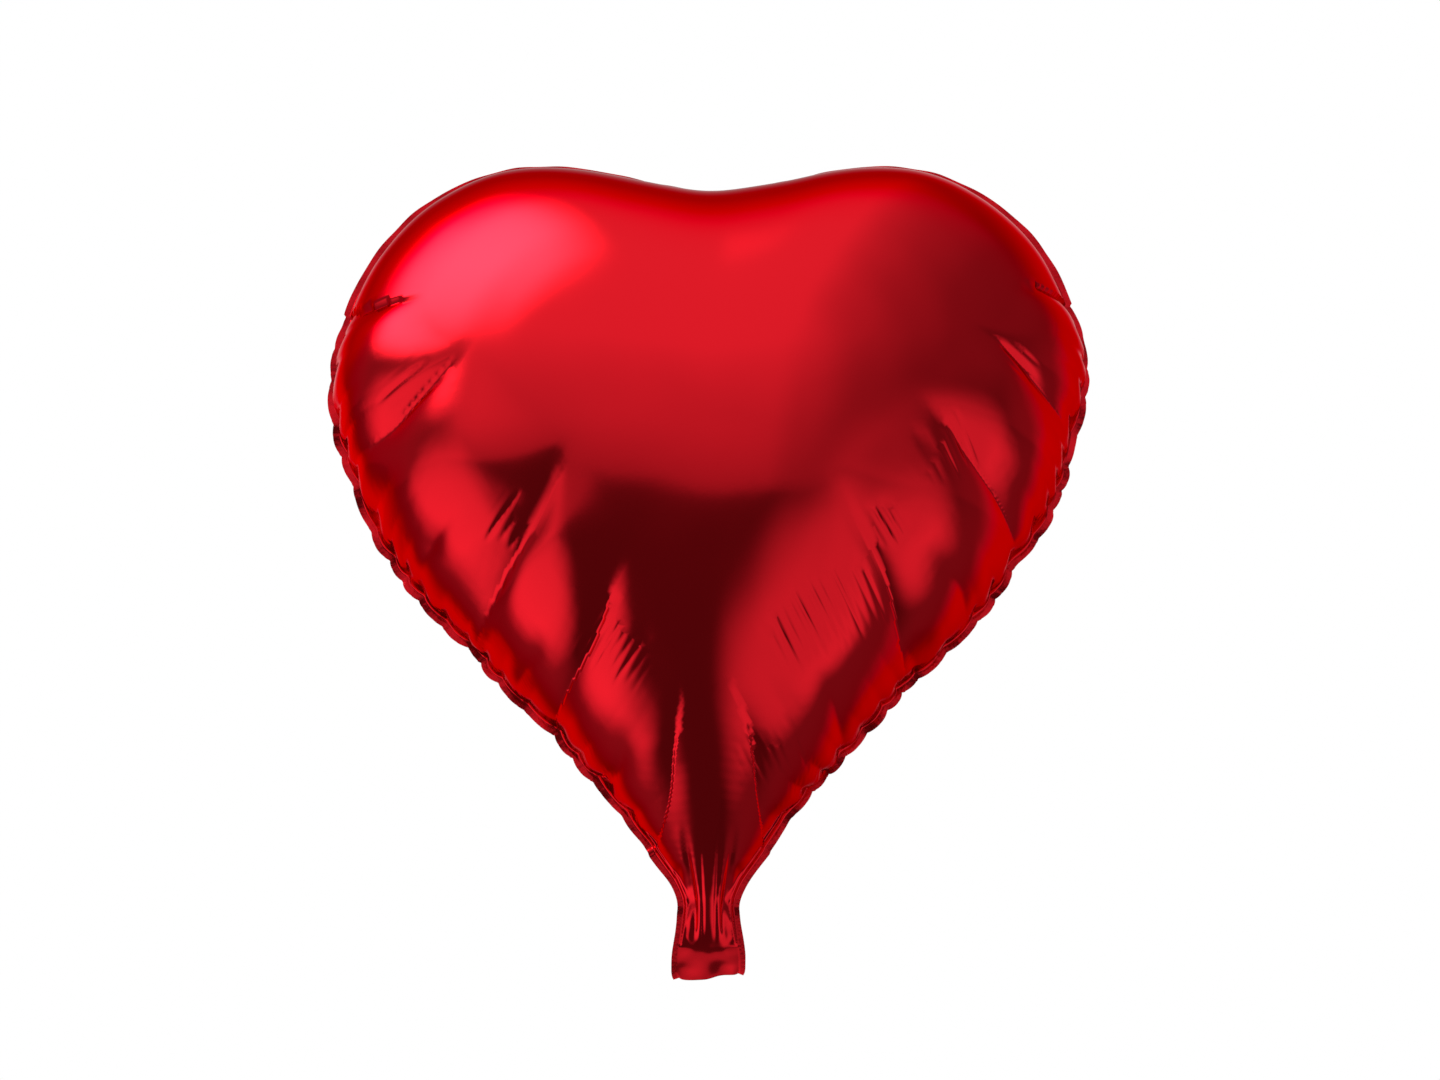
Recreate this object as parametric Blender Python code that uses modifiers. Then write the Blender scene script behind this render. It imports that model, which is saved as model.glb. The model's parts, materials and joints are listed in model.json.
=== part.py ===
"""Heart-shaped foil balloon, inflated.

Two foil panels are welded face to face round a heart outline. A neck runs down from the point
of the heart to a flat tail, and a two-film valve lies inside the neck. The tail folds about a
line across the foot of the neck, and the front film of the valve leans open to let gas past.

Metres, +Z up. The front of the balloon faces -Y and +X is to the right. The origin is the
middle of the neck at its narrowest place, where a ribbon is tied.
"""

import math

import bmesh
import bpy
import numpy as np

# Sheet thicknesses and clearances
FOIL = 0.0006
FILM = 0.0003
GAP = 0.0003

# Heart panels: the seam is the inner edge of the weld band
CROWN_DEPTH = 0.098
CROWN_Z = 0.240
WELD_BAND = 0.004
NECK_WELD_BAND = 0.0035
NECK_FOOT_Z = -0.0155
COLUMNS = 9
ROWS_PER_SPAN = (3, 11, 11, 11, 7)

# Half of the seam, from the foot of the neck to the cleft: cubic spans of (x, z) points
SEAM_SPANS = (
    ((0.0140, NECK_FOOT_Z), (0.0128, -0.0100), (0.0120, -0.0050), (0.0120, 0.0000)),
    ((0.0120, 0.0000), (0.0120, 0.0200), (0.0550, 0.0640), (0.0930, 0.1020)),
    ((0.0930, 0.1020), (0.1310, 0.1400), (0.1835, 0.1880), (0.1835, 0.2570)),
    ((0.1835, 0.2570), (0.1835, 0.3220), (0.1340, 0.3710), (0.0840, 0.3710)),
    ((0.0840, 0.3710), (0.0500, 0.3710), (0.0240, 0.3580), (0.0000, 0.3575)),
)

# Front-to-back swelling of a panel along its middle: cubic spans of (depth, z) points
SWELL_SPANS = (
    ((0.0000, NECK_FOOT_Z), (0.0045, -0.0120), (0.0085, -0.0060), (0.0095, 0.0000)),
    ((0.0095, 0.0000), (0.0120, 0.0140), (0.0380, 0.0360), (0.0600, 0.0700)),
    ((0.0600, 0.0700), (0.0840, 0.1080), (CROWN_DEPTH, 0.1680), (CROWN_DEPTH, CROWN_Z)),
)

# Fold line between the neck and the tail, with the room that a folded tail needs
FOLD_Z = -0.0190
FOLD_ROOM = 0.0013
NECK_END_Z = FOLD_Z + FOLD_ROOM
TAIL_TOP_Z = FOLD_Z - FOLD_ROOM

# The films lie in a shallow pocket between the two foils of the foot and the tail
FILM_WIDTH = 0.0220
POCKET_DEPTH = FILM + GAP + 0.00005
POCKET_RAMP = 0.0016
FRONT_FILM_TOP_Z = 0.0750
REAR_FILM_TOP_Z = 0.0850
FILM_CORNER = 0.0040
VALVE_LINE_Z = -0.0165
VALVE_FOOT_Z = NECK_END_Z + 0.0003
INLET_END_Z = -0.0285

# Tail outline below the fold line: (x, z) corners, the mouth cut slightly askew
TAIL_CORNERS = (
    (-0.0174, TAIL_TOP_Z), (0.0174, TAIL_TOP_Z), (0.0184, -0.0300), (0.0020, -0.0325), (-0.0178, -0.0338),
)

FOIL_RED = (0.72, 0.012, 0.018, 1.0)
FILM_CLEAR = (0.86, 0.88, 0.90, 1.0)


def clear_scene():
    for old in list(bpy.data.objects):
        bpy.data.objects.remove(old, do_unlink=True)


def make_collection(name):
    collection = bpy.data.collections.new(name)
    bpy.context.scene.collection.children.link(collection)
    return collection


def make_material(name, colour, roughness, metallic):
    material = bpy.data.materials.new(name)
    material.use_nodes = True
    shader = material.node_tree.nodes["Principled BSDF"]
    shader.inputs["Base Color"].default_value = colour
    shader.inputs["Roughness"].default_value = roughness
    shader.inputs["Metallic"].default_value = metallic
    return material


def cubic_point(span, t):
    """A point of one cubic span, t running from 0 to 1."""
    a, b, c, d = (np.array(point) for point in span)
    s = 1.0 - t
    return s ** 3 * a + 3 * s * s * t * b + 3 * s * t * t * c + t ** 3 * d


def seam_rows():
    """Points along half of the seam with the outward direction at each."""
    points = [np.array(SEAM_SPANS[0][0])]
    for span, steps in zip(SEAM_SPANS, ROWS_PER_SPAN):
        points += [cubic_point(span, step / steps) for step in range(1, steps + 1)]
    points = np.array(points)
    tangents = np.gradient(points, axis=0)
    tangents /= np.linalg.norm(tangents, axis=1)[:, None]
    outward = np.stack([tangents[:, 1], -tangents[:, 0]], axis=1)
    outward[0] = (1.0, 0.0)
    outward[-1] = (0.0, 1.0)
    return points, outward


def swelling(z):
    """Depth of a panel on its middle line at height z, level above the crown."""
    samples = np.concatenate([
        [cubic_point(span, step / 24) for step in range(25)] for span in SWELL_SPANS
    ])
    return float(np.interp(z, samples[:, 1], samples[:, 0]))


def pocket(x, half_width):
    """Depth of the film pocket across the flat foot of the neck."""
    return POCKET_DEPTH * min(1.0, max(0.0, (half_width - abs(x)) / POCKET_RAMP))


def panel_rows():
    """Rows of one half panel, each from the outer edge of the weld band to the middle line.

    Rows below the crown run level, and the rows above it fan out from the crown point. Every
    row is a quarter of an ellipse that rises square off the seam.
    """
    points, outward = seam_rows()
    rows = []
    for index, ((seam_x, seam_z), (out_x, out_z)) in enumerate(zip(points, outward)):
        band = NECK_WELD_BAND if seam_z < 0.0 else WELD_BAND
        middle_z = min(seam_z, CROWN_Z)
        depth = swelling(middle_z)
        row = [(seam_x + band * out_x, 0.0, seam_z + band * out_z)]
        for column in range(COLUMNS + 1):
            angle = 0.5 * math.pi * column / COLUMNS
            x = seam_x * math.cos(angle)
            z = middle_z + (seam_z - middle_z) * math.cos(angle)
            rise = depth * math.sin(angle) if index else pocket(x, seam_x)
            row.append((0.0 if column == COLUMNS else x, -rise, z))
        rows.append(row)
    foot = [(x, y, NECK_END_Z) for x, y, _ in rows[0]]
    return [foot] + rows


def make_panel(name, collection, material, side):
    """One foil panel with its weld band and half of the neck; side is -1 at the front."""
    mesh = bpy.data.meshes.new(name)
    shape = bmesh.new()
    offset = GAP / 2.0
    grid = [
        [shape.verts.new((x, side * (offset - y), z)) for x, y, z in row] for row in panel_rows()
    ]
    for lower, upper in zip(grid, grid[1:]):
        for column in range(len(lower) - 1):
            corners = [lower[column], lower[column + 1], upper[column + 1], upper[column]]
            shape.faces.new(corners if side > 0 else corners[::-1])
    bmesh.ops.remove_doubles(shape, verts=shape.verts, dist=1e-6)
    bmesh.ops.dissolve_degenerate(shape, edges=shape.edges, dist=1e-7)
    shape.to_mesh(mesh)
    shape.free()
    mesh.materials.append(material)
    mesh.shade_smooth()
    panel = bpy.data.objects.new(name, mesh)
    collection.objects.link(panel)
    mirror = panel.modifiers.new("Mirror", "MIRROR")
    mirror.use_axis = (True, False, False)
    mirror.merge_threshold = 0.00001
    wall = panel.modifiers.new("Foil wall", "SOLIDIFY")
    wall.thickness = FOIL
    wall.offset = 1.0
    wall.use_even_offset = True
    wall.use_quality_normals = True
    return panel


def make_sheet(name, collection, material, corners, thickness, middle_y, axis_z, parent=None):
    """A flat sheet cut to an outline of (x, z) corners, its origin on the line it folds about."""
    curve = bpy.data.curves.new(name, "CURVE")
    curve.dimensions = "2D"
    curve.fill_mode = "BOTH"
    curve.extrude = thickness / 2.0
    spline = curve.splines.new("POLY")
    spline.points.add(len(corners) - 1)
    for point, (x, z) in zip(spline.points, corners):
        point.co = (x, z - axis_z, 0.0, 1.0)
    spline.use_cyclic_u = True
    curve.materials.append(material)
    sheet = bpy.data.objects.new(name, curve)
    sheet.rotation_euler = (math.pi / 2.0, 0.0, 0.0)
    collection.objects.link(sheet)
    if parent is None:
        sheet.location = (0.0, middle_y, axis_z)
    else:
        sheet.parent = parent
        sheet.location = (0.0, middle_y, 0.0)
    return sheet


def valve_outline(top_z):
    """A film strip with square lower corners and round upper ones."""
    half = FILM_WIDTH / 2.0
    centre_x = half - FILM_CORNER
    centre_z = top_z - FILM_CORNER
    quarter = [math.pi / 2.0 * step / 6 for step in range(7)]
    right = [(centre_x + FILM_CORNER * math.cos(a), centre_z + FILM_CORNER * math.sin(a)) for a in quarter]
    left = [(-x, z) for x, z in reversed(right)]
    return [(-half, VALVE_FOOT_Z), (half, VALVE_FOOT_Z)] + right + left


def inlet_outline():
    half = FILM_WIDTH / 2.0
    return [(-half, TAIL_TOP_Z), (half, TAIL_TOP_Z), (half, INLET_END_Z), (-half, INLET_END_Z)]


def make_fold_axis(collection):
    axis = bpy.data.objects.new("neck_fold_axis", None)
    axis.empty_display_size = 0.02
    axis.location = (0.0, 0.0, FOLD_Z)
    collection.objects.link(axis)
    return axis


def build():
    clear_scene()
    collection = make_collection("heart_foil_balloon")
    foil = make_material("red_foil", FOIL_RED, 0.18, 1.0)
    film = make_material("clear_film", FILM_CLEAR, 0.35, 0.0)

    make_panel("front_panel", collection, foil, -1)
    make_panel("rear_panel", collection, foil, 1)

    film_y = GAP / 2.0 + FILM / 2.0
    front_valve = valve_outline(FRONT_FILM_TOP_Z)
    rear_valve = valve_outline(REAR_FILM_TOP_Z)
    make_sheet("valve_front_film", collection, film, front_valve, FILM, -film_y, VALVE_LINE_Z)
    make_sheet("valve_rear_film", collection, film, rear_valve, FILM, film_y, VALVE_LINE_Z)

    axis = make_fold_axis(collection)
    tail_y = GAP / 2.0 + POCKET_DEPTH + FOIL / 2.0
    make_sheet("tail_front_sheet", collection, foil, TAIL_CORNERS, FOIL, -tail_y, FOLD_Z, axis)
    make_sheet("tail_rear_sheet", collection, foil, TAIL_CORNERS, FOIL, tail_y, FOLD_Z, axis)
    make_sheet("inlet_front_film", collection, film, inlet_outline(), FILM, -film_y, FOLD_Z, axis)
    make_sheet("inlet_rear_film", collection, film, inlet_outline(), FILM, film_y, FOLD_Z, axis)
    bpy.context.view_layer.update()


build()
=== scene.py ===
import json
import math

import bpy
import numpy as np
from bpy.props import FloatProperty, FloatVectorProperty, IntProperty, PointerProperty
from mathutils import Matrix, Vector
from mathutils.geometry import delaunay_2d_cdt
from mathutils.bvhtree import BVHTree
from mathutils.interpolate import poly_3d_calc
from mathutils.noise import noise


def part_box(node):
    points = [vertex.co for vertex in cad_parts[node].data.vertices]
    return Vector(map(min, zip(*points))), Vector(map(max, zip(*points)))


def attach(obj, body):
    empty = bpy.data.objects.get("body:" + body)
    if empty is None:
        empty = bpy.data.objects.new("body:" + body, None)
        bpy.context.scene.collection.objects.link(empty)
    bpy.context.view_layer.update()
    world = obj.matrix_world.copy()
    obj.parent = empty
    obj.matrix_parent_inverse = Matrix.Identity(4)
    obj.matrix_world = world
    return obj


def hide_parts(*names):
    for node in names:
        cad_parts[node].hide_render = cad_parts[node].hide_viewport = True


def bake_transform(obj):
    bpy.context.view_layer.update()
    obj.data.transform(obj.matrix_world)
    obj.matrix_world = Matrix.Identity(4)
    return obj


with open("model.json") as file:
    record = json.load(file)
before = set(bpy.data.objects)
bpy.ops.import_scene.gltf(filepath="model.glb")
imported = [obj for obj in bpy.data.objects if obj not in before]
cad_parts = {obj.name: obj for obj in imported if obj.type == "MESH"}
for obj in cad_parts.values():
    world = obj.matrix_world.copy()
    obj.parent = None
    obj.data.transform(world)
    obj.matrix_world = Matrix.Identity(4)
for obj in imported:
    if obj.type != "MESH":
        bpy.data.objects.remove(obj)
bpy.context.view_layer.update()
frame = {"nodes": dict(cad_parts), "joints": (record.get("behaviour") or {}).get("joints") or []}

bl_info = {
    "name": "Heart foil balloon",
    "version": (1, 0, 0),
    "blender": (4, 5, 0),
    "location": "View3D > Sidebar > Balloon",
    "description": "An inflated heart-shaped foil balloon with its valve, tail and studio",
    "category": "Add Mesh",
}

ENVELOPE, TAIL, FLAP = "envelope", "tail", "valve_flap"
VALVE_HINGE = (-0.0003, -0.0165)  # y and z of the valve flap's hinge
FOLD_Z = next(joint["pos_m"][2] for joint in frame["joints"] if joint["name"] == "neck_fold")
CLOTH_SCALE = 10.0


# Flat cut --------------------------------------------------------------------------------

def cubic(a, b, c, d, steps):
    """Points of a cubic curve with the given ends and handles."""
    t = np.linspace(0.0, 1.0, steps)[:, None]
    s = 1.0 - t
    a, b, c, d = (np.array(corner) for corner in (a, b, c, d))
    return s ** 3 * a + 3 * s * s * t * b + 3 * s * t * t * c + t ** 3 * d


def along(line):
    """Distance along a polyline at each of its points."""
    return np.concatenate([[0.0], np.cumsum(np.linalg.norm(np.diff(line, axis=0), axis=1))])


def resample(line, spacing):
    """The polyline again with evenly spaced points, ends kept."""
    at = along(line)
    count = max(2, round(at[-1] / spacing) + 1)
    new = np.linspace(0.0, at[-1], count)
    return np.stack([np.interp(new, at, line[:, k]) for k in range(line.shape[1])], axis=1)


def weld_line(cut):
    """Half of the flat weld line, from the mouth of the tail to the cleft, as dense points."""
    fold = (cut.tail_half, FOLD_Z)
    neck = (cut.neck_half, 0.0)
    flank = (cut.flank_x, cut.flank_z)
    side = (cut.half_width, cut.side_z)
    lobe = (cut.lobe_x, cut.lobe_z)
    spans = (
        ((cut.tail_half + 0.0003, cut.mouth_z), (cut.tail_half, -0.028), (cut.tail_half, -0.023), fold),
        (fold, (cut.tail_half, -0.012), (cut.neck_half, -0.006), neck),
        (neck, (cut.neck_half, 0.020), (cut.flank_x - cut.flank_pull, cut.flank_z - cut.flank_pull), flank),
        (flank, (cut.flank_x + cut.hip_pull, cut.flank_z + cut.hip_pull),
         (cut.half_width, cut.side_z - 0.090), side),
        (side, (cut.half_width, cut.side_z + 0.072), (cut.lobe_x + 0.058, cut.lobe_z), lobe),
        (lobe, (cut.lobe_x - 0.046, cut.lobe_z), (0.028, cut.cleft_z + 0.001), (0.0, cut.cleft_z)),
    )
    parts = [cubic(*span, 80)[(0 if index == 0 else 1):] for index, span in enumerate(spans)]
    return np.concatenate(parts)


def foil_outline(cut, spacing):
    """Half of the weld line, the foil's whole flat outline, and how many of its points are weld."""
    half = resample(weld_line(cut), spacing)
    mouth_steps = max(2, round(2 * half[0, 0] / spacing))
    mouth = np.stack([np.linspace(-half[0, 0], half[0, 0], mouth_steps + 1)[1:-1],
                      np.full(mouth_steps - 1, half[0, 1])], axis=1)
    left = half * (-1.0, 1.0)
    outline = np.concatenate([left[:-1], half[::-1], mouth[::-1]])
    return half, outline, len(left) - 1 + len(half)


def cut_foil(cut):
    """One flat foil inside the weld line: the points, the triangles and which points are weld."""
    half, outline, on_weld = foil_outline(cut, cut.spacing)
    row_step = cut.spacing * math.sqrt(3.0) / 2.0
    rows = np.arange(half[:, 1].min(), half[:, 1].max(), row_step)
    lattice = []
    for index, z in enumerate(rows):
        first = 0.0 if index % 2 else cut.spacing / 2.0
        xs = np.arange(first, half[:, 0].max(), cut.spacing)
        xs = np.concatenate([-xs[::-1][: len(xs) - (index % 2)], xs])
        lattice.append(np.stack([xs, np.full(len(xs), z)], axis=1))
    lattice = np.concatenate(lattice)
    dense = resample(np.concatenate([outline, outline[:1]]), cut.spacing / 4.0)
    keep = inside(outline, lattice) & (nearest(lattice, dense)[0] > 0.62 * cut.spacing)
    points = np.concatenate([outline, lattice[keep]])
    edges = [(k, (k + 1) % len(outline)) for k in range(len(outline))]
    result = delaunay_2d_cdt([Vector(p) for p in points], edges, [], 1, 1e-7)
    flat = np.array([tuple(v) for v in result[0]])
    triangles = np.array([tuple(f) for f in result[2]])
    came_from = result[3]
    weld = np.array([any(k < on_weld for k in origin) for origin in came_from])
    return flat, triangles, weld


def inside(outline, points):
    """Which points lie inside a closed outline."""
    result = np.zeros(len(points), bool)
    for (x1, z1), (x2, z2) in zip(outline, np.roll(outline, -1, axis=0)):
        if z1 != z2:
            crosses = (z1 > points[:, 1]) != (z2 > points[:, 1])
            result ^= crosses & (points[:, 0] < (x2 - x1) * (points[:, 1] - z1) / (z2 - z1) + x1)
    return result


def nearest(points, line, chunk=4000):
    """Distance from each point to the nearest point of a line, and that point's index."""
    distance = np.empty(len(points))
    index = np.empty(len(points), int)
    for start in range(0, len(points), chunk):
        block = points[start:start + chunk]
        square = ((block[:, None, :] - line[None, :, :]) ** 2).sum(axis=2)
        index[start:start + chunk] = square.argmin(axis=1)
        distance[start:start + chunk] = np.sqrt(square.min(axis=1))
    return distance, index


def smoothstep(x):
    """0 below 0, 1 above 1, and an even S between."""
    x = np.clip(x, 0.0, 1.0)
    return x * x * (3.0 - 2.0 * x)


def start_height(flat, weld, cut, air):
    """How far each point of a foil stands off the seam plane before the gas goes in."""
    half = resample(weld_line(cut), 0.0015)
    line = np.concatenate([half * (-1.0, 1.0), half])
    depth_in, _ = nearest(flat, line)
    held = smoothstep((flat[:, 1] - FOLD_Z) / 0.020)
    height = 0.0010 * np.minimum(1.0, depth_in / 0.005)
    height += held * air.lift * np.minimum(1.0, depth_in / air.lift_run)
    height = np.maximum(height, 0.0006)
    height[weld] = 0.0
    return height


def inflate(cut, air):
    """Blows the two welded foils up as cloth; gives the front and rear points of each foil."""
    flat, triangles, weld = cut_foil(cut)
    height = start_height(flat, weld, cut, air)
    rear_index = np.arange(len(flat))
    free = np.flatnonzero(~weld)
    rear_index[free] = len(flat) + np.arange(len(free))
    front = np.stack([flat[:, 0], -height, flat[:, 1]], axis=1)
    rear = np.stack([flat[free, 0], height[free], flat[free, 1]], axis=1)
    points = np.concatenate([front, rear]) * CLOTH_SCALE
    faces = [tuple(f) for f in triangles] + [tuple(rear_index[f][::-1]) for f in triangles]
    mesh = bpy.data.meshes.new("inflation")
    mesh.from_pydata(points.tolist(), [], [tuple(int(k) for k in f) for f in faces])
    mesh.update()
    skin = bpy.data.objects.new("inflation", mesh)
    bpy.context.scene.collection.objects.link(skin)
    pin = skin.vertex_groups.new(name="flat tail")
    held = np.clip((FOLD_Z - points[:, 2] / CLOTH_SCALE) / 0.003 + 1.0, 0.0, 1.0)
    for index in np.flatnonzero(held > 0.0):
        pin.add([int(index)], float(held[index]), "REPLACE")
    cloth = skin.modifiers.new("Gas", "CLOTH")
    settings = cloth.settings
    settings.quality = 6
    settings.mass = 0.1
    settings.tension_stiffness = air.stiffness
    settings.compression_stiffness = air.stiffness
    settings.shear_stiffness = air.stiffness / 2.0
    settings.bending_stiffness = air.bending
    settings.tension_damping = 5.0
    settings.compression_damping = 5.0
    settings.shear_damping = 5.0
    settings.air_damping = 2.0
    settings.use_pressure = True
    settings.uniform_pressure_force = air.pressure
    settings.vertex_group_mass = pin.name
    settings.effector_weights.gravity = 0.0
    cloth.collision_settings.use_collision = False
    frames = air.frames
    cloth.point_cache.frame_end = frames + 2
    for number in range(1, frames + 1):
        bpy.context.scene.frame_set(number)
    blown = skin.evaluated_get(bpy.context.evaluated_depsgraph_get())
    result = np.empty(len(points) * 3, np.float32)
    blown.data.vertices.foreach_get("co", result)
    result = result.reshape(-1, 3).astype(float) / CLOTH_SCALE
    bpy.context.scene.frame_set(1)
    bpy.data.objects.remove(skin)
    bpy.data.meshes.remove(mesh)
    return flat, triangles, weld, result[: len(flat)], result[rear_index]


# Fitting the blown foils to the frame ------------------------------------------------------

HEART_MIDDLE = np.array([0.0, 0.200])
FLAT_MIDDLE = np.array([0.0, 0.220])
STATIONS = np.radians(np.arange(-180.0, 180.0, 3.0))
ARC_STEPS = 96
NECK_ANGLE = math.atan2(0.0122, 0.200)

# How far the heart's outline stands out from the frame's even one: (degrees from straight down,
# left is negative, millimetres)
OUTLINE_LEAN = ((-180, 3.0), (-165, 2.0), (-150, 3.0), (-135, 4.5), (-120, 4.0), (-105, 1.5),
                (-90, -1.0), (-75, -2.5), (-50, -3.0), (-30, -3.0), (-16, -4.0), (-7, 0.0),
                (7, 0.0), (16, -4.5), (30, -4.5), (50, -3.5),
                (75, -4.5), (95, -3.0), (105, 0.5), (115, 4.0), (130, 6.5), (145, 5.0), (155, 2.5),
                (165, 0.0), (175, 2.0))

# Half the width of the weld line at heights through the tail and the neck, metres
NECK_WELD = ((-0.034, 0.0152), (-0.0190, 0.0150), (-0.0155, 0.0144), (-0.0100, 0.0133), (-0.0050, 0.0124),
             (0.0000, 0.0122), (0.0070, 0.0136), (0.0150, 0.0174), (0.0240, 0.0230), (0.0450, 0.0400))
TAIL_OFFSET = 0.0011

# The same for the flat cut
NECK_FLAT = ((-0.034, 0.0153), (-0.0190, 0.0150), (-0.0100, 0.0156), (0.0000, 0.0160), (0.0100, 0.0205),
             (0.0200, 0.0280), (0.0450, 0.0520))


def evened(points, triangles, weld, rounds):
    """The blown foil without its small accidental buckles, the same size and outline overall."""
    pairs = np.concatenate([triangles[:, [0, 1]], triangles[:, [1, 2]], triangles[:, [2, 0]]])
    pairs = np.unique(np.sort(pairs, axis=1), axis=0)
    edge_of_weld = weld[pairs[:, 0]] & weld[pairs[:, 1]]
    keep = edge_of_weld | ~(weld[pairs[:, 0]] | weld[pairs[:, 1]])
    to_weld = ~keep
    first = np.concatenate([pairs[keep, 0], pairs[keep, 1], pairs[to_weld, 0], pairs[to_weld, 1]])
    second = np.concatenate([pairs[keep, 1], pairs[keep, 0], pairs[to_weld, 1], pairs[to_weld, 0]])
    inner = ~weld[first] | (weld[first] & weld[second])
    first, second = first[inner], second[inner]
    count = np.bincount(first, minlength=len(points))[:, None]
    share = smoothstep((points[:, 2] - 0.010) / 0.030)[:, None]
    points = points.copy()
    for _ in range(rounds):
        for pull in (0.50, -0.52):
            total = np.zeros_like(points)
            np.add.at(total, first, points[second])
            points += pull * share * (total / np.maximum(count, 1) - points)
    return points


def frame_tree(name):
    """A search tree of one frame node's surface."""
    mesh = frame["nodes"][name].data
    corners = [v.co.copy() for v in mesh.vertices]
    return BVHTree.FromPolygons(corners, [tuple(p.vertices) for p in mesh.polygons])


def frame_depth(tree, x, z, hand):
    """How far the frame's panel stands off the seam plane at (x, z), or None outside it."""
    place, _, _, _ = tree.ray_cast(Vector((x, hand * 0.3, z)), Vector((0.0, -hand, 0.0)))
    return None if place is None else hand * place[1]


def frame_profiles(tree, hand, cut):
    """The frame panel's section along rays from the heart's middle: distance and depth by arc."""
    distances, depths = [], []
    for angle in STATIONS:
        heading = np.array([math.sin(angle), -math.cos(angle)])
        inner, outer = 0.10, 0.26
        for _ in range(20):
            middle = 0.5 * (inner + outer)
            x, z = HEART_MIDDLE + heading * middle
            if z > 0.0 and frame_depth(tree, x, z, hand) is not None:
                inner = middle
            else:
                outer = middle
        in_neck = abs(angle) < NECK_ANGLE
        edge = inner if in_neck else inner - cut.weld_band
        reach = edge * np.sin(np.linspace(0.0, 0.5 * math.pi, 60))
        depth = []
        for distance in reach:
            x, z = HEART_MIDDLE + heading * distance
            depth.append(frame_depth(tree, x, z, hand) or 0.0)
        depth = np.array(depth)
        if not in_neck:
            depth -= depth[-1] * (reach / edge) ** 2
        arc = np.concatenate([[0.0], np.cumsum(np.hypot(np.diff(reach), np.diff(depth)))])
        share = np.linspace(0.0, arc[-1], ARC_STEPS)
        distances.append(np.interp(share, arc, reach))
        depths.append(np.interp(share, arc, depth))
    distances, depths = np.array(distances), np.array(depths)
    share = (np.linspace(0.0, 1.0, ARC_STEPS) ** 5)[None, :]
    even = depths.copy()
    for _ in range(40):
        even = 0.5 * even + 0.25 * (np.roll(even, 1, axis=0) + np.roll(even, -1, axis=0))
    upper = smoothstep((np.abs(np.degrees(STATIONS)) - 115.0) / 35.0)[:, None]
    return distances, depths + upper * (1.0 - share) * (even - depths)


def table_at(table, row, column):
    """Values of a table at fractional rows and columns; the rows go round."""
    i, j = np.floor(row).astype(int), np.minimum(np.floor(column).astype(int), table.shape[1] - 2)
    u, v = row - i, column - j
    above, below = table[i % len(table)], table[(i + 1) % len(table)]
    pick = np.arange(len(row))
    return ((1 - u) * ((1 - v) * above[pick, j] + v * above[pick, j + 1])
            + u * ((1 - v) * below[pick, j] + v * below[pick, j + 1]))


def neck_shape(flat, tree, hand):
    """The neck and the pressed tail: as wide as NECK_WELD says and as deep as the frame's panel."""
    line = np.array(NECK_WELD)
    flat_line = np.array(NECK_FLAT)
    share = np.clip(flat[:, 0] / np.interp(flat[:, 1], flat_line[:, 0], flat_line[:, 1]), -1.0, 1.0)
    x = share * np.interp(flat[:, 1], line[:, 0], line[:, 1])
    y = np.full(len(flat), TAIL_OFFSET)
    for number in np.flatnonzero((flat[:, 1] > FOLD_Z + 0.004) & (flat[:, 1] < 0.045)):
        depth = frame_depth(tree, float(x[number]), float(flat[number, 1]), hand)
        y[number] = max(TAIL_OFFSET, depth or 0.0)
    y *= 1.0 - np.abs(share) ** 12
    return np.stack([x, hand * y, flat[:, 1]], axis=1)


def fill_frame(flat, weld, tree, hand, cut):
    """Where each flat point lies on the full, smooth shape that the frame's panel gives."""
    distances, depths = frame_profiles(tree, hand, cut)
    line = flat[weld & (flat[:, 1] > 0.003)]
    offset = line - FLAT_MIDDLE
    line_angle = np.arctan2(offset[:, 0], -offset[:, 1])
    order = np.argsort(line_angle)
    offset = flat - FLAT_MIDDLE
    angle = np.arctan2(offset[:, 0], -offset[:, 1])
    edge = np.interp(angle, line_angle[order], np.linalg.norm(line - FLAT_MIDDLE, axis=1)[order],
                     period=2.0 * math.pi)
    share = np.clip(np.linalg.norm(offset, axis=1) / edge, 0.0, 1.0)
    share[weld & (flat[:, 1] > 0.003)] = 1.0
    row = (angle - STATIONS[0]) / (STATIONS[1] - STATIONS[0])
    column = share * (ARC_STEPS - 1)
    distance = table_at(distances, row, column)
    depth = table_at(depths, row, column)
    lean = np.array(OUTLINE_LEAN)
    distance += 0.001 * np.interp(np.degrees(angle), lean[:, 0], lean[:, 1], period=360.0) * share ** 1.5
    x = HEART_MIDDLE[0] + np.sin(angle) * distance
    z = HEART_MIDDLE[1] - np.cos(angle) * distance
    full = np.stack([x, hand * depth, z], axis=1)
    above = smoothstep((flat[:, 1] - 0.010) / 0.030)[:, None]
    return neck_shape(flat, tree, hand) * (1.0 - above) + full * above


def fit_to_frame(flat, triangles, front, rear, weld, cut, gas):
    """The frame's full shape with the folds that the blown cloth made in the lower half."""
    fitted = []
    for face, blown, hand in (("front", front, -1.0), ("rear", rear, 1.0)):
        full = fill_frame(flat, weld, frame_tree(face + "_panel"), hand, cut)
        full = evened(full, triangles, weld, 12)
        folds = blown - evened(blown, triangles, weld, 160)
        calm = smoothstep((flat[:, 1] - 0.030) / 0.030) * (1.0 - smoothstep((flat[:, 1] - 0.27) / 0.06))
        fitted.append(full + gas.folds * folds * calm[:, None])
    front, rear = fitted
    seam = 0.5 * (front[weld] + rear[weld])
    front[weld] = seam
    rear[weld] = seam
    return front, rear


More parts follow.
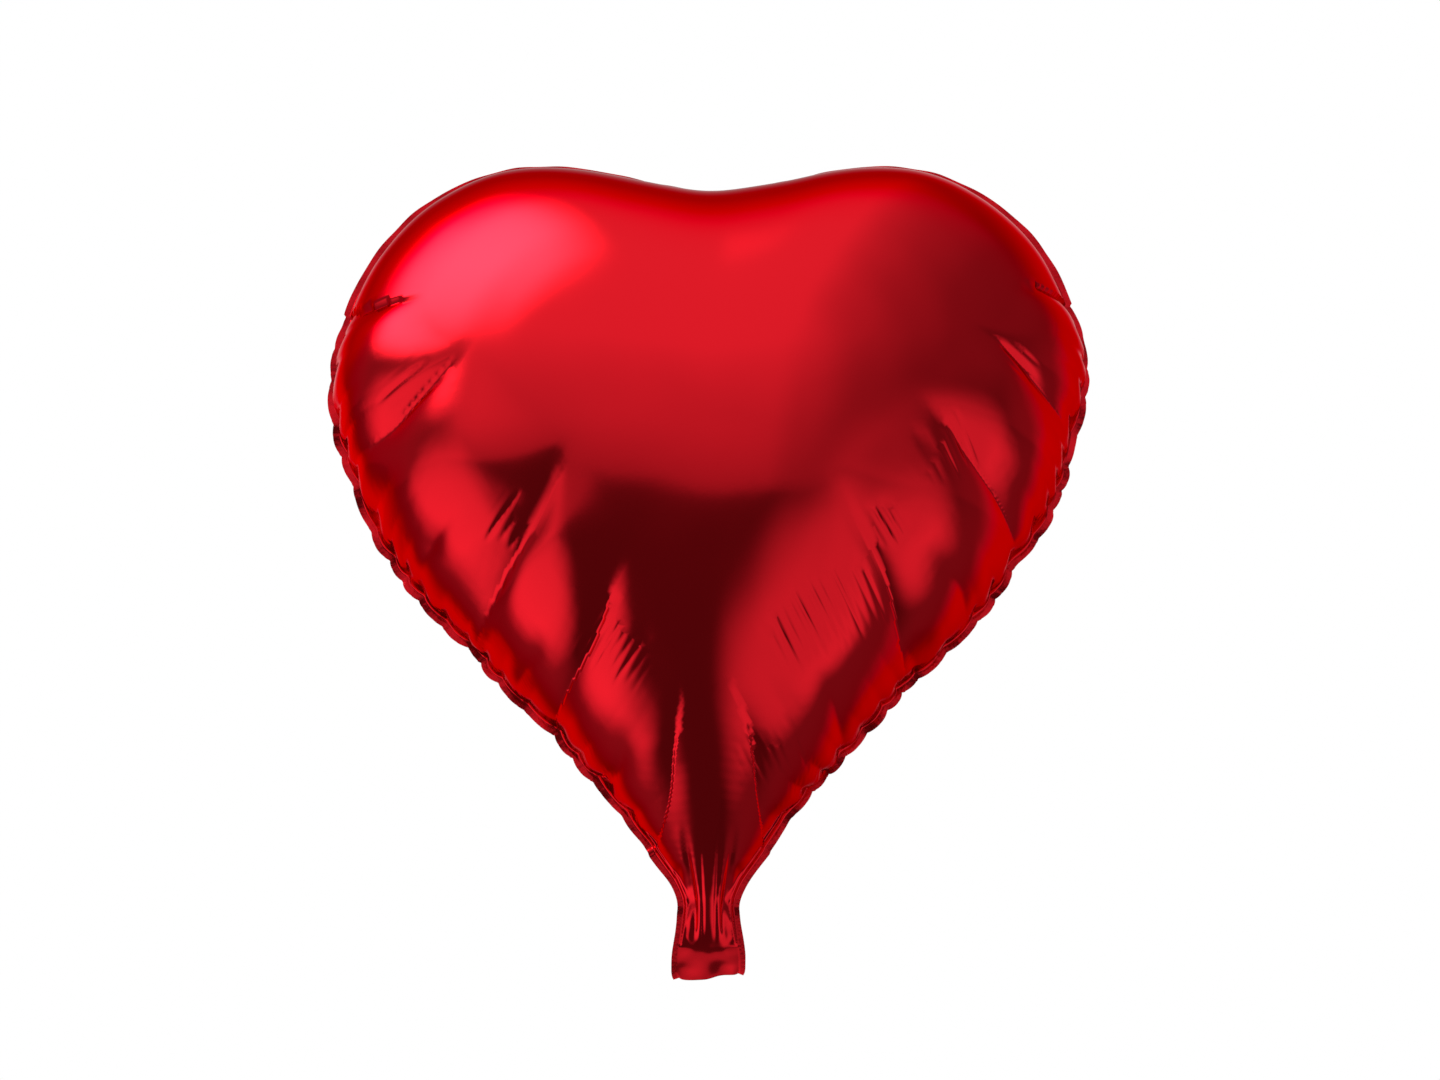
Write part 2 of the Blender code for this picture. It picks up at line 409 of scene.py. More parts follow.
def subdivided(points, triangles, levels):
    """Points and faces of a mesh after that many rounds of smooth subdivision."""
    mesh = bpy.data.meshes.new("coarse")
    mesh.from_pydata(points.tolist(), [], triangles.tolist())
    mesh.update()
    coarse = bpy.data.objects.new("coarse", mesh)
    bpy.context.scene.collection.objects.link(coarse)
    smooth = coarse.modifiers.new("Smooth", "SUBSURF")
    smooth.levels = levels
    smooth.render_levels = levels
    fine = bpy.data.meshes.new_from_object(coarse.evaluated_get(bpy.context.evaluated_depsgraph_get()))
    result = np.empty(len(fine.vertices) * 3, np.float32)
    fine.vertices.foreach_get("co", result)
    faces = np.empty(len(fine.loops), np.int32)
    fine.loops.foreach_get("vertex_index", faces)
    bpy.data.objects.remove(coarse)
    bpy.data.meshes.remove(mesh)
    bpy.data.meshes.remove(fine)
    return result.reshape(-1, 3).astype(float), faces.reshape(-1, 4)


# Fine foil mesh ----------------------------------------------------------------------------

def graded_lattice(box, finest, wanted_spacing):
    """Points of a triangular lattice, left out where wanted_spacing allows wider ones."""
    (x0, z0), (x1, z1) = box
    row = finest * math.sqrt(3.0) / 2.0
    rows = np.arange(math.floor(z0 / row), math.ceil(z1 / row) + 1)
    columns = np.arange(math.floor(x0 / finest) - 1, math.ceil(x1 / finest) + 2)
    # Lattice numbers: x = (column + row / 2) * finest, so a lattice twice as wide has even numbers
    i, j = np.meshgrid(columns, rows)
    shift = j // 2
    i = i - shift
    points = np.stack([(i + j / 2.0) * finest, j * row], axis=-1).reshape(-1, 2)
    i, j = i.ravel(), j.ravel()
    level = np.ones(len(points))
    for step in (2, 4, 8):
        level[(i % step == 0) & (j % step == 0)] = step
    keep = level * finest >= 0.75 * wanted_spacing(points)
    return points[keep]


def refined(flat, triangles, shapes, cut, look):
    """A finer flat foil, and where each of its points lies on each of the given blown shapes."""
    twin = np.stack([flat[:, 0], np.zeros(len(flat)), flat[:, 1]], axis=1)
    twin, quads = subdivided(twin, triangles, 3)
    smooth = [subdivided(shape, triangles, 3)[0] for shape in shapes]
    half, outline, weld_count = foil_outline(cut, look.finest)
    coarse_half = resample(half, 0.003)
    coarse_outline = np.concatenate([coarse_half[:-1] * (-1.0, 1.0), coarse_half[::-1]])

    def wanted_spacing(points):
        depth_in, _ = nearest(np.stack([np.abs(points[:, 0]), points[:, 1]], axis=1), coarse_half)
        depth_in = np.where(points[:, 1] < 0.03, 0.0, depth_in)
        high = smoothstep((points[:, 1] - 0.30) / 0.03)
        spacing = look.finest * np.where(depth_in < 0.010, 1.0, np.where(depth_in < 0.088, 2.0, 4.0))
        spacing = np.maximum(spacing, look.finest * np.where((high > 0.5) & (depth_in > 0.012), 4.0, 1.0))
        for centre, reach in look.dense:
            spacing = np.where(np.linalg.norm(points - centre, axis=1) < reach, look.finest, spacing)
        return np.where(nearest(points, look.seams)[0] < 0.0045, look.finest, spacing)

    box = (outline.min(axis=0), outline.max(axis=0))
    lattice = graded_lattice(box, look.finest, wanted_spacing)
    lattice = lattice[inside(coarse_outline, lattice)]
    lattice = lattice[nearest(lattice, resample(outline, 0.5 * look.finest))[0] > 0.6 * look.finest]
    points = np.concatenate([outline, lattice])
    edges = [(k, (k + 1) % len(outline)) for k in range(len(outline))]
    result = delaunay_2d_cdt([Vector(p) for p in points], edges, [], 1, 1e-8)
    fine_flat = np.array([tuple(v) for v in result[0]])
    fine_triangles = np.array([tuple(f) for f in result[2]])
    order = {}
    for number, origin in enumerate(result[3]):
        for k in origin:
            if k < len(outline):
                order[k] = number
    weld_chain = np.array([order[k] for k in range(weld_count)])
    tree = BVHTree.FromPolygons([Vector(p) for p in twin], [tuple(q) for q in quads])
    lifted = [np.empty((len(fine_flat), 3)) for _ in smooth]
    for number, (x, z) in enumerate(fine_flat):
        place, _, face, _ = tree.find_nearest(Vector((x, 0.0, z)))
        corners = quads[face]
        weights = poly_3d_calc([Vector(p) for p in twin[corners]], place)
        for shape, out in zip(smooth, lifted):
            out[number] = np.array(weights) @ shape[corners]
    return fine_flat, fine_triangles, weld_chain, lifted


def normals_of(points, triangles):
    """Unit normals at the points of a triangle mesh."""
    a, b, c = (points[triangles[:, k]] for k in range(3))
    across = np.cross(b - a, c - a)
    normals = np.zeros_like(points)
    for k in range(3):
        np.add.at(normals, triangles[:, k], across)
    return normals / np.maximum(np.linalg.norm(normals, axis=1), 1e-12)[:, None]


def noise_at(points, size, seed):
    """Smooth noise of about the given feature size, one value for each point."""
    shift = Vector((17.3 * seed, 5.1 * seed, 9.7 * seed))
    return np.array([noise(Vector(p) / size + shift) for p in points])


# Seams between the big puckers, from the neck up to the shoulder on each side, in the plane of
# the blown heart: ((x, z) at the weld, (x, z) at the inner end, height of the pucker above it)
SEAMS = {
    "front": (
        (((-0.026, 0.026), (-0.013, 0.096), 0.0034), ((-0.078, 0.083), (-0.038, 0.156), 0.0060),
         ((-0.113, 0.128), (-0.068, 0.204), 0.0078), ((-0.168, 0.220), (-0.118, 0.262), 0.0058),
         ((-0.182, 0.298), (-0.142, 0.292), 0.0)),
        (((0.026, 0.026), (0.013, 0.096), 0.0050), ((0.098, 0.107), (0.062, 0.190), 0.0066),
         ((0.152, 0.173), (0.104, 0.232), 0.0056), ((0.178, 0.232), (0.132, 0.272), 0.0046),
         ((0.187, 0.303), (0.150, 0.298), 0.0)),
    ),
    "rear": (
        (((-0.026, 0.026), (-0.013, 0.096), 0.0045), ((-0.090, 0.098), (-0.056, 0.180), 0.0066),
         ((-0.150, 0.172), (-0.102, 0.230), 0.0058), ((-0.177, 0.232), (-0.130, 0.270), 0.0046),
         ((-0.186, 0.300), (-0.148, 0.296), 0.0)),
        (((0.026, 0.026), (0.013, 0.096), 0.0036), ((0.080, 0.086), (0.042, 0.158), 0.0062),
         ((0.120, 0.134), (0.072, 0.206), 0.0074), ((0.170, 0.218), (0.120, 0.260), 0.0056),
         ((0.184, 0.296), (0.146, 0.290), 0.0)),
    ),
}

# Radius of the rounding along the floor of a seam
SEAM_FLOOR = 0.0012

# Short folds beside them: (x, z) at the weld, (x, z) at the inner end, depth and half-width, metres
FOLDS = {
    "front": (
        ((-0.139, 0.166), (-0.116, 0.192), 0.0022, 0.007),
        ((-0.093, 0.107), (-0.076, 0.130), 0.0018, 0.006),
        ((-0.052, 0.055), (-0.036, 0.084), 0.0018, 0.006),
        ((0.066, 0.074), (0.046, 0.112), 0.0022, 0.007),
        ((0.126, 0.140), (0.100, 0.168), 0.0020, 0.007),
    ),
    "rear": (
        ((-0.122, 0.136), (-0.098, 0.164), 0.0020, 0.007),
        ((-0.060, 0.068), (-0.042, 0.104), 0.0022, 0.007),
        ((0.146, 0.172), (0.122, 0.196), 0.0022, 0.007),
        ((0.054, 0.058), (0.038, 0.088), 0.0018, 0.006),
    ),
}

# Combs of fine creases: (x, z) of the middle, angle of the creases, their length, how many,
# their pitch and depth
COMBS = {
    "front": (
        ((-0.143, 0.244), 36.0, 0.034, 3, 0.0065, 0.00080),
        ((-0.092, 0.176), 54.0, 0.030, 3, 0.0060, 0.00070),
        ((-0.042, 0.118), 56.0, 0.036, 7, 0.0048, 0.00050),
        ((0.150, 0.260), -32.0, 0.026, 3, 0.0055, 0.00070),
        ((0.112, 0.212), -62.0, 0.034, 6, 0.0046, 0.00060),
        ((0.082, 0.174), -54.0, 0.028, 4, 0.0050, 0.00070),
        ((0.054, 0.132), -60.0, 0.040, 13, 0.0044, 0.00055),
        ((0.030, 0.070), -60.0, 0.026, 7, 0.0044, 0.00030),
    ),
    "rear": (
        ((0.142, 0.240), 36.0, 0.034, 3, 0.0065, 0.00080),
        ((0.090, 0.172), 54.0, 0.032, 6, 0.0048, 0.00060),
        ((0.044, 0.116), 56.0, 0.034, 6, 0.0048, 0.00050),
        ((-0.118, 0.206), -60.0, 0.034, 6, 0.0046, 0.00060),
        ((-0.058, 0.130), -60.0, 0.040, 11, 0.0044, 0.00055),
    ),
}


# Pleats gathered into the neck: distance from the middle, half-width and depth, metres
NECK_PLEATS = ((-0.0072, 0.0016, 0.0017), (-0.0028, 0.0009, 0.0005), (0.0034, 0.0011, 0.0008),
               (0.0076, 0.0016, 0.0015))


def from_seam(points, seam):
    """Signed distance across a seam and the share of its length run in from the weld."""
    start, end = np.array(seam[0]), np.array(seam[1])
    length = np.linalg.norm(end - start)
    direction = (end - start) / length
    offset = points - start
    run = offset @ direction / length
    bow = 0.0030 * np.sin(math.pi * np.clip(run, 0.0, 1.2)) + 0.0008 * np.sin(9.0 * run + 40.0 * start[0])
    return offset @ np.array([-direction[1], direction[0]]) + bow, run


def rounded(distance, radius):
    """A distance from a seam with its zero rounded off."""
    return np.sqrt(distance ** 2 + radius ** 2) - radius


def puckers(points, seams):
    """The big puckers between the seams: full in their middles, meeting in a sharp valley.

    Gives the height and how far into a pucker's middle each point lies.
    """
    height = np.zeros(len(points))
    fullness = np.zeros(len(points))
    for lower, upper in zip(seams[:-1], seams[1:]):
        hand = 1.0 if lower[0][0] < 0.0 else -1.0
        over, run_low = from_seam(points, lower)
        under, run_high = from_seam(points, upper)
        over, under = np.maximum(hand * over, 0.0), np.maximum(-hand * under, 0.0)
        between = (over > 0.0) & (under > 0.0)
        share = over / np.maximum(over + under, 1e-6)
        run = (1.0 - share) * run_low + share * run_high
        near, far = rounded(over, SEAM_FLOOR), rounded(under, SEAM_FLOOR)
        full = np.where(between, 4.0 * near * far / np.maximum((near + far) ** 2, 1e-9), 0.0)
        taper = smoothstep((run + 0.10) / 0.40) * (1.0 - smoothstep((run - 0.50) / 0.62))
        height += lower[2] * taper * np.where(between, full ** 0.8 - 0.45, 0.0)
        fullness += full * (run < 0.6)
    return height, fullness


def fold(points, start, end, depth, width):
    """A short folded valley that is sharp along its floor and dies out at its inner end."""
    across, run = from_seam(points, (start, end))
    taper = smoothstep((run + 0.10) / 0.35) * smoothstep((1.05 - run) / 0.75)
    floor = 0.0008 + 0.0025 * np.clip(run, 0.0, 1.0)
    reach = rounded(across, floor) / (width * (0.8 + 0.6 * np.clip(run, 0.0, 1.0)))
    return -depth * taper * np.exp(-reach)


def comb(points, centre, angle, length, count, pitch, depth):
    """Fine parallel creases pressed into the foil round a centre in the heart's plane."""
    offset = points - np.array(centre)
    turn = math.radians(angle)
    run = offset @ np.array([math.cos(turn), math.sin(turn)])
    across = offset @ np.array([-math.sin(turn), math.cos(turn)])
    number = across / pitch + 0.10 * np.sin(run / 0.009) + 0.18 * np.sin(across / (1.7 * pitch))
    uneven = 0.65 + 0.35 * np.sin(2.4 * np.round(number) + 9.0 * centre[0])
    fade = smoothstep(1.0 - (np.abs(run) / (0.5 * length * (0.7 + 0.3 * uneven))) ** 2)
    half = 0.5 * count * pitch
    fade *= smoothstep((half - np.abs(across)) / pitch + 0.5)
    ridge = 1.0 - 2.0 * np.abs(number - np.round(number))
    return -depth * fade * uneven * np.clip(ridge, 0.0, 1.0) ** 2.2


def crimp_wave(arc, hand, look):
    """Small pleats along the weld: 0 in each valley and 1 on the rounded ridge between two."""
    wander = 0.9 * np.sin(arc / 0.031 + 1.7 * hand) + 0.6 * np.sin(arc / 0.0117 + 2.3 + hand)
    return np.abs(np.sin(math.pi * arc / look.crimp_pitch + wander))


def crimp_strength(arc, total):
    """Pleats are deep on the flanks and sides and nearly gone over the lobes and at the neck."""
    low = smoothstep((arc - 0.060) / 0.030)
    high = 1.0 - smoothstep((arc - (total - 0.300)) / 0.060)
    return low * high


def creased(points, triangles, flat, face, cut, look):
    """The foil with its puckers, pleats at the weld, combs of fine creases and faint unevenness."""
    half = resample(weld_line(cut), 0.001)
    arc_along = along(half)
    depth_in, index = nearest(np.stack([np.abs(flat[:, 0]), flat[:, 1]], axis=1), half)
    arc = arc_along[index]
    hand = np.sign(flat[:, 0])
    normals = normals_of(points, triangles)
    if face == "rear":
        normals = -normals
    plane = points[:, [0, 2]]
    wave = crimp_wave(arc, hand, look)
    strength = crimp_strength(arc, arc_along[-1])
    off_weld = smoothstep(depth_in / 0.006)
    body = smoothstep((points[:, 2] - 0.012) / 0.030)
    rise = look.crimp_depth * (wave - 0.64) * strength * np.exp(-depth_in / look.crimp_reach) * off_weld
    rise += body * look.unevenness * noise_at(points, 0.045, 3 if face == "front" else 4) * off_weld
    for seams in SEAMS[face]:
        rise += look.pucker * off_weld * puckers(plane, seams)[0]
    # Both foils follow the front one's seams where they push the shared weld out
    fullness = sum(puckers(plane, seams)[1] for seams in SEAMS["front"])
    for values in FOLDS[face]:
        rise += look.pucker * off_weld * fold(plane, *values)
    for values in COMBS[face]:
        rise += look.comb * comb(plane, *values)
    neck = smoothstep((points[:, 2] - VALVE_HINGE[1]) / 0.008)
    neck = neck * (1.0 - smoothstep((points[:, 2] - 0.012) / 0.030))
    for centre, width, depth in NECK_PLEATS:
        drift = centre * (1.0 + 18.0 * np.clip(points[:, 2], 0.0, 1.0))
        rise -= neck * depth * np.exp(-((plane[:, 0] - drift) / width) ** 2)
    outward = plane - HEART_MIDDLE
    outward /= np.maximum(np.linalg.norm(outward, axis=1), 1e-9)[:, None]
    splay = look.crimp_splay * (wave - 0.64) * strength * np.exp(-depth_in / 0.008)
    splay += body * look.pucker_splay * (fullness - 0.5) * (fullness > 0.0) * np.exp(-depth_in / 0.012)
    result = points + normals * rise[:, None]
    result[:, [0, 2]] += outward * splay[:, None]
    # The weld itself snakes out of its plane, the same way on both foils
    snake = look.weld_snake * strength * np.sin(math.pi * arc / look.crimp_pitch + 2.0 * hand)
    result[:, 1] += snake * np.exp(-depth_in / 0.006)
    return result


# Room for the valve's front film behind the front foil: the swing in degrees, the gap, how far
# above the hinge it is kept, and the still rim beside the weld with the run over which it starts
VALVE_SWING, VALVE_GAP, VALVE_REACH = 8.3, 0.0007, 0.080
WELD_RIM, RIM_RUN = 0.0001, 0.0011


def clear_of_valve(points, chain):
    """Holds the lowest part of the front foil off the valve's front film as it swings open.

    It acts over the foil's whole width, not only in front of the film, and ends at VALVE_REACH, so
    it leaves a step beside the weld. The weld, which the rear foil shares, stays where it is.
    """
    rise = np.clip(points[:, 2] - VALVE_HINGE[1], 0.0, VALVE_REACH)
    ripple = 0.0020 * np.clip((points[:, 2] - 0.002) / 0.05, 0.0, 1.0)
    limit = VALVE_HINGE[0] - VALVE_GAP - ripple - math.tan(math.radians(VALVE_SWING)) * rise
    weld = points[chain]
    side = weld[(weld[:, 0] > 0.0) & (weld[:, 2] < 0.12)]
    side = side[np.argsort(side[:, 2])]
    half_width = np.interp(points[:, 2], side[:, 2], side[:, 0])
    beside = np.clip((half_width - WELD_RIM - np.abs(points[:, 0])) / RIM_RUN, 0.0, 1.0)
    acts = (beside > 0.0) & (rise > 0.0) & (rise < VALVE_REACH)
    limit = np.where(acts, limit * beside, np.inf)
    points[:, 1] = np.minimum(points[:, 1], limit)
    return points


def shape_tail(points):
    """Gives the tail its mouth, which is cut askew and ripples."""
    below = np.clip((FOLD_Z - points[:, 2]) / (FOLD_Z + 0.034), 0.0, 1.0)
    x = points[:, 0]
    mouth = -0.0322 + 0.105 * x + 0.0005 * np.sin(x / 0.0036) - 0.0006 * np.exp(-(x / 0.004) ** 2)
    points[:, 2] = np.where(below > 0.0, FOLD_Z + below * (mouth - FOLD_Z), points[:, 2])
    points[:, 1] += 0.0004 * np.sin(x / 0.0030 + 0.6) * smoothstep((below - 0.3) / 0.7)
    return points


def with_weld_band(points, chain, face, cut):
    """Adds the flat welded band outside the weld line; gives the points, its faces and its mask."""
    weld = points[chain]
    line = weld[:, [0, 2]].copy()
    for _ in range(14):
        line[1:-1] = 0.5 * line[1:-1] + 0.25 * (line[:-2] + line[2:])
    tangent = np.gradient(line, axis=0)
    tangent /= np.linalg.norm(tangent, axis=1)[:, None]
    outward = np.stack([-tangent[:, 1], tangent[:, 0]], axis=1)
    if ((line - HEART_MIDDLE) * outward).sum() < 0.0:
        outward = -outward
    high = smoothstep((weld[:, 2] - 0.005) / 0.03)
    width = cut.neck_band + (cut.weld_band - cut.neck_band) * high
    arc = along(weld)
    width *= 1.0 + 0.05 * np.sin(arc / 0.0043) + 0.04 * np.sin(arc / 0.0171)
    layer = -0.00012 if face == "front" else 0.00012
    rows = [chain]
    new_points = [points]
    mask = [np.zeros(len(points))]
    count = len(points)
    steps = 4
    for step in range(1, steps + 1):
        share = step / steps
        row = weld.copy()
        row[:, [0, 2]] += outward * (width * share)[:, None]
        row[:, 1] += layer + 0.00025 * share * np.sin(arc / 0.0031) * high
        new_points.append(row)
        mask.append(np.ones(len(row)))
        rows.append(np.arange(count, count + len(row)))
        count += len(row)
    faces = []
    for inner, outer in zip(rows[:-1], rows[1:]):
        faces.append(np.stack([inner[:-1], inner[1:], outer[1:], outer[:-1]], axis=1))
    quads = np.concatenate(faces)
    return np.concatenate(new_points), quads, np.concatenate(mask)


def link(name, points, faces, material):
    """A smooth-shaded mesh piece in the scene."""
    mesh = bpy.data.meshes.new(name)
    mesh.from_pydata(np.asarray(points).tolist(), [], [tuple(int(k) for k in f) for f in faces])
    mesh.update()
    mesh.polygons.foreach_set("use_smooth", [True] * len(mesh.polygons))
    mesh.materials.append(material)
    piece = bpy.data.objects.new(name, mesh)
    bpy.context.scene.collection.objects.link(piece)
    return piece


def facing(points, faces, outward):
    """The faces, turned where needed so that together they look the given way along y."""
    a, b, c = (points[faces[:, k]] for k in range(3))
    if np.cross(b - a, c - a)[:, 1].sum() * outward < 0.0:
        return faces[:, ::-1]
    return faces


def foil_piece(face, name, replaced, flat, triangles, chain, points, cut, look):
    """One welded foil, from its weld band to the mouth of its tail."""
    shaped = shape_tail(creased(points, triangles, flat, face, cut, look))
    if face == "front":
        shaped = clear_of_valve(shaped, chain)
    shaped, band, mask = with_weld_band(shaped, chain, face, cut)
    outward = -1.0 if face == "front" else 1.0
    triangles = facing(shaped, triangles, outward)
    band = facing(shaped, band, outward)
    piece = link(name, shaped, list(triangles) + list(band), red_foil_material())
    attribute = piece.data.attributes.new("weld_band", "FLOAT", "POINT")
    attribute.data.foreach_set("value", mask.astype(np.float32))
    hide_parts(*replaced)
    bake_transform(piece)
    return piece


# Valve and inlet films ---------------------------------------------------------------------

def film_points(box, layer, rows, seed):
    """A soft rippled sheet that fills a film's box in the frame, as rows of points from the foot up."""
    low, high = (np.array(corner) for corner in box)
    columns = 25
    x = np.linspace(low[0], high[0], columns)
    z = np.linspace(low[2], high[2], rows)
    grid_x, grid_z = np.meshgrid(x, z)
    y = np.full(grid_x.shape, layer)
    share = np.clip((grid_z - 0.002) / 0.05, 0.0, 1.0)
    middle = 1.0 - (2.0 * (grid_x - low[0]) / (high[0] - low[0]) - 1.0) ** 2
    outward = 1.0 if layer > 0.0 else -1.0
    y = y + outward * share * middle * (0.0010 + 0.0005 * np.sin(grid_z / 0.0075 + seed))
    y = y + outward * share * middle * 0.0004 * np.sin(grid_x / 0.0021 + grid_z / 0.011 + seed)
    grid_x = grid_x + 0.0003 * share * np.sin(grid_z / 0.006 + 2.0 * seed)
    points = np.stack([grid_x, y, grid_z], axis=-1).reshape(-1, 3)
    index = np.arange(rows * columns).reshape(rows, columns)
    quads = np.stack([index[:-1, :-1], index[:-1, 1:], index[1:, 1:], index[1:, :-1]], axis=-1)
    return points, quads.reshape(-1, 4)


def film_piece(name, box, layer, seed, replaced):
    """One film sheet with soft ripples, in place of the frame's plain film."""
    rows = max(9, round((box[1][2] - box[0][2]) / 0.0008))
    points, quads = film_points(box, layer, rows, seed)
    piece = link(name, points, quads, clear_film_material())
    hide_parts(*replaced)
    return piece


# Materials ---------------------------------------------------------------------------------

def node(tree, kind, values=(), **settings):
    """A new node with its properties and unlinked inputs set."""
    made = tree.nodes.new(kind)
    for key, value in settings.items():
        setattr(made, key, value)
    for key, value in dict(values).items():
        made.inputs[key].default_value = value
    return made


def math_node(tree, operation, a, b):
    """A Math node; each of a and b is a number or an output socket."""
    made = node(tree, "ShaderNodeMath", operation=operation)
    for slot_number, value in enumerate((a, b)):
        if isinstance(value, (int, float)):
            made.inputs[slot_number].default_value = value
        else:
            tree.links.new(value, made.inputs[slot_number])
    return made.outputs[0]


def film_crinkle_group():
    """Shader group: the crinkled height and the uneven gloss of a thin plastic or metallised film."""
    name = "Film crinkle"
    if name in bpy.data.node_groups:
        return bpy.data.node_groups[name]
    group = bpy.data.node_groups.new(name, "ShaderNodeTree")
    for label, default in (("Ripple Scale", 22.0), ("Ripple Height", 0.4),
                           ("Grain Scale", 420.0), ("Grain Height", 0.05)):
        socket = group.interface.new_socket(label, in_out="INPUT", socket_type="NodeSocketFloat")
        socket.default_value = default
    group.interface.new_socket("Height", in_out="OUTPUT", socket_type="NodeSocketFloat")
    group.interface.new_socket("Gloss Mask", in_out="OUTPUT", socket_type="NodeSocketFloat")
    entry = node(group, "NodeGroupInput")
    leave = node(group, "NodeGroupOutput")
    place = node(group, "ShaderNodeTexCoord")
    ripple = node(group, "ShaderNodeTexNoise", {"Detail": 2.0, "Roughness": 0.4, "Distortion": 0.4})
    grain = node(group, "ShaderNodeTexNoise", {"Detail": 3.0, "Roughness": 0.6})
    cloud = node(group, "ShaderNodeTexNoise", {"Scale": 14.0, "Detail": 4.0, "Roughness": 0.6})
    for texture in (ripple, grain, cloud):
        group.links.new(place.outputs["Object"], texture.inputs["Vector"])
    group.links.new(entry.outputs["Ripple Scale"], ripple.inputs["Scale"])
    group.links.new(entry.outputs["Grain Scale"], grain.inputs["Scale"])
    soft = math_node(group, "MULTIPLY", ripple.outputs["Fac"], entry.outputs["Ripple Height"])
    fine = math_node(group, "MULTIPLY", grain.outputs["Fac"], entry.outputs["Grain Height"])
    group.links.new(math_node(group, "ADD", soft, fine), leave.inputs["Height"])
    group.links.new(cloud.outputs["Fac"], leave.inputs["Gloss Mask"])
    return group


def crinkle_node(tree, values):
    """The film crinkle group with its inputs set."""
    made = node(tree, "ShaderNodeGroup")
    made.node_tree = film_crinkle_group()
    for key, value in values.items():
        made.inputs[key].default_value = value
    return made


def map_range(tree, value, low, high, to_low, to_high):
    """A value carried from one range to another."""
    made = node(tree, "ShaderNodeMapRange",
                {"From Min": low, "From Max": high, "To Min": to_low, "To Max": to_high})
    tree.links.new(value, made.inputs["Value"])
    return made.outputs["Result"]


def red_foil_material():
    """Mirror-bright red metallised film, duller and knurled along the heat-sealed band, whose red is also
    darkened there as painted shade.
    """
    name = "red_foil"
    if name in bpy.data.materials and bpy.data.materials[name].get("made_here"):
        return bpy.data.materials[name]
    look = bpy.context.scene.balloon_foil
    material = bpy.data.materials.new(name)
    material["made_here"] = True
    material.use_nodes = True
    tree = material.node_tree
    shader = tree.nodes["Principled BSDF"]
    shader.inputs["Metallic"].default_value = 1.0
    shader.inputs["Specular Tint"].default_value = (1.0, 0.28, 0.30, 1.0)
    crinkle = crinkle_node(tree, {"Ripple Scale": 24.0, "Ripple Height": look.ripple,
                                  "Grain Scale": 520.0, "Grain Height": look.grain})
    band = node(tree, "ShaderNodeAttribute", attribute_name="weld_band")
    place = node(tree, "ShaderNodeTexCoord")
    knurl = node(tree, "ShaderNodeTexVoronoi", {"Scale": 620.0})
    tree.links.new(place.outputs["Object"], knurl.inputs["Vector"])
    pressed = math_node(tree, "MULTIPLY", knurl.outputs["Distance"], band.outputs["Fac"])
    pressed = math_node(tree, "MULTIPLY", pressed, look.knurl)
    height = math_node(tree, "ADD", crinkle.outputs["Height"], pressed)
    bump = node(tree, "ShaderNodeBump", {"Strength": 1.0, "Distance": 0.001})
    tree.links.new(height, bump.inputs["Height"])
    tree.links.new(bump.outputs["Normal"], shader.inputs["Normal"])
    gloss = map_range(tree, crinkle.outputs["Gloss Mask"], 0.3, 0.7,
                      look.roughness * 0.85, look.roughness * 1.15)
    dull = math_node(tree, "MULTIPLY", band.outputs["Fac"], 0.10)
    tree.links.new(math_node(tree, "ADD", gloss, dull), shader.inputs["Roughness"])
    # Painted shade: the foil's red is darkened to 72 % over the weld band.
    painted_band_shade = node(tree, "ShaderNodeMix", data_type="RGBA")
    painted_band_shade.inputs[6].default_value = (*look.colour, 1.0)
    painted_band_shade.inputs[7].default_value = (*(part * 0.72 for part in look.colour), 1.0)
    tree.links.new(band.outputs["Fac"], painted_band_shade.inputs[0])
    tree.links.new(painted_band_shade.outputs[2], shader.inputs["Base Color"])
    return material


def clear_film_material():
    """Thin clear film of the valve, slightly cloudy, with soft ripples."""
    name = "clear_film"
    if name in bpy.data.materials and bpy.data.materials[name].get("made_here"):
        return bpy.data.materials[name]
    look = bpy.context.scene.balloon_film
    material = bpy.data.materials.new(name)
    material["made_here"] = True
    material.use_nodes = True
    tree = material.node_tree
    shader = tree.nodes["Principled BSDF"]
    shader.inputs["Base Color"].default_value = (*look.colour, 1.0)
    shader.inputs["IOR"].default_value = 1.5
    crinkle = crinkle_node(tree, {"Ripple Scale": 120.0, "Ripple Height": 0.5,
                                  "Grain Scale": 900.0, "Grain Height": 0.05})
    bump = node(tree, "ShaderNodeBump", {"Strength": 0.6, "Distance": 0.0006})
    tree.links.new(crinkle.outputs["Height"], bump.inputs["Height"])
    tree.links.new(bump.outputs["Normal"], shader.inputs["Normal"])
    mask = crinkle.outputs["Gloss Mask"]
    tree.links.new(map_range(tree, mask, 0.3, 0.7, 0.16, 0.30), shader.inputs["Roughness"])
    clear = map_range(tree, mask, 0.3, 0.7, look.cover * 0.8, look.cover * 1.2)
    tree.links.new(clear, shader.inputs["Alpha"])
    return material


def floor_material():
    """Matt pale studio floor with a barely visible unevenness."""
    material = bpy.data.materials.new("studio_floor")
    material.use_nodes = True
    tree = material.node_tree
    shader = tree.nodes["Principled BSDF"]
    place = node(tree, "ShaderNodeTexCoord")
    cloud = node(tree, "ShaderNodeTexNoise", {"Scale": 3.0, "Detail": 4.0})
    tree.links.new(place.outputs["Object"], cloud.inputs["Vector"])
    tree.links.new(map_range(tree, cloud.outputs["Fac"], 0.3, 0.7, 0.55, 0.65), shader.inputs["Roughness"])
    shader.inputs["Base Color"].default_value = (0.86, 0.86, 0.86, 1.0)
    shader.inputs["Specular IOR Level"].default_value = 0.1
    return material


# Sizes, colours and the operators -----------------------------------------------------------

def length(name, text, value, low=0.0):
    """A property that holds a length in metres."""
    return FloatProperty(name=name, description=text, default=value, min=low, unit="LENGTH", precision=4)


